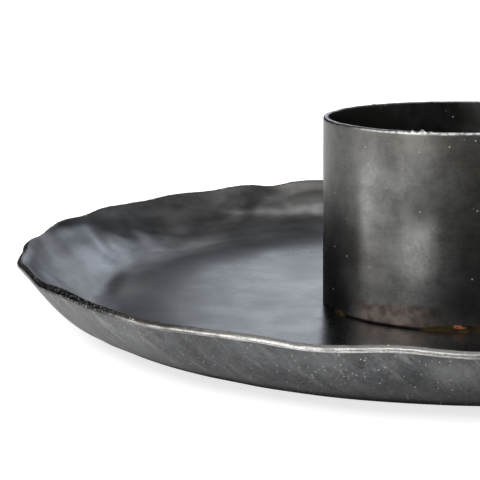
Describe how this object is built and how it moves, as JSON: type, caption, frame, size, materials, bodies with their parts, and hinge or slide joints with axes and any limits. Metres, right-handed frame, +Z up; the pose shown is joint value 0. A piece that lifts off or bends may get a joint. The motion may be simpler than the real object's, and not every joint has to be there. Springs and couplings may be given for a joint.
{
  "type": "candle holder",
  "caption": "Shallow round hammered steel dish with a plain cylindrical steel cup brazed upright at its centre to hold a pillar candle and catch its wax.",
  "frame": {"origin": "centre of the dish's flat underside, on the table", "axes": "+Z up along the cup's axis, -Y towards the front of the holder"},
  "size_m": [0.2008, 0.2002, 0.0443],
  "materials": {
    "dish_steel": "satin",
    "cup_steel": "satin",
    "braze": "satin"
  },
  "bodies": {
    "root": {"dish": "dish_steel", "candle_cup": "cup_steel", "cup_seam_braze": "braze", "base_braze_front": "braze", "base_braze_front_left": "braze", "base_braze_back_left": "braze", "base_braze_back": "braze", "base_braze_back_right": "braze", "base_braze_front_right": "braze"}
  },
  "joints": []
}
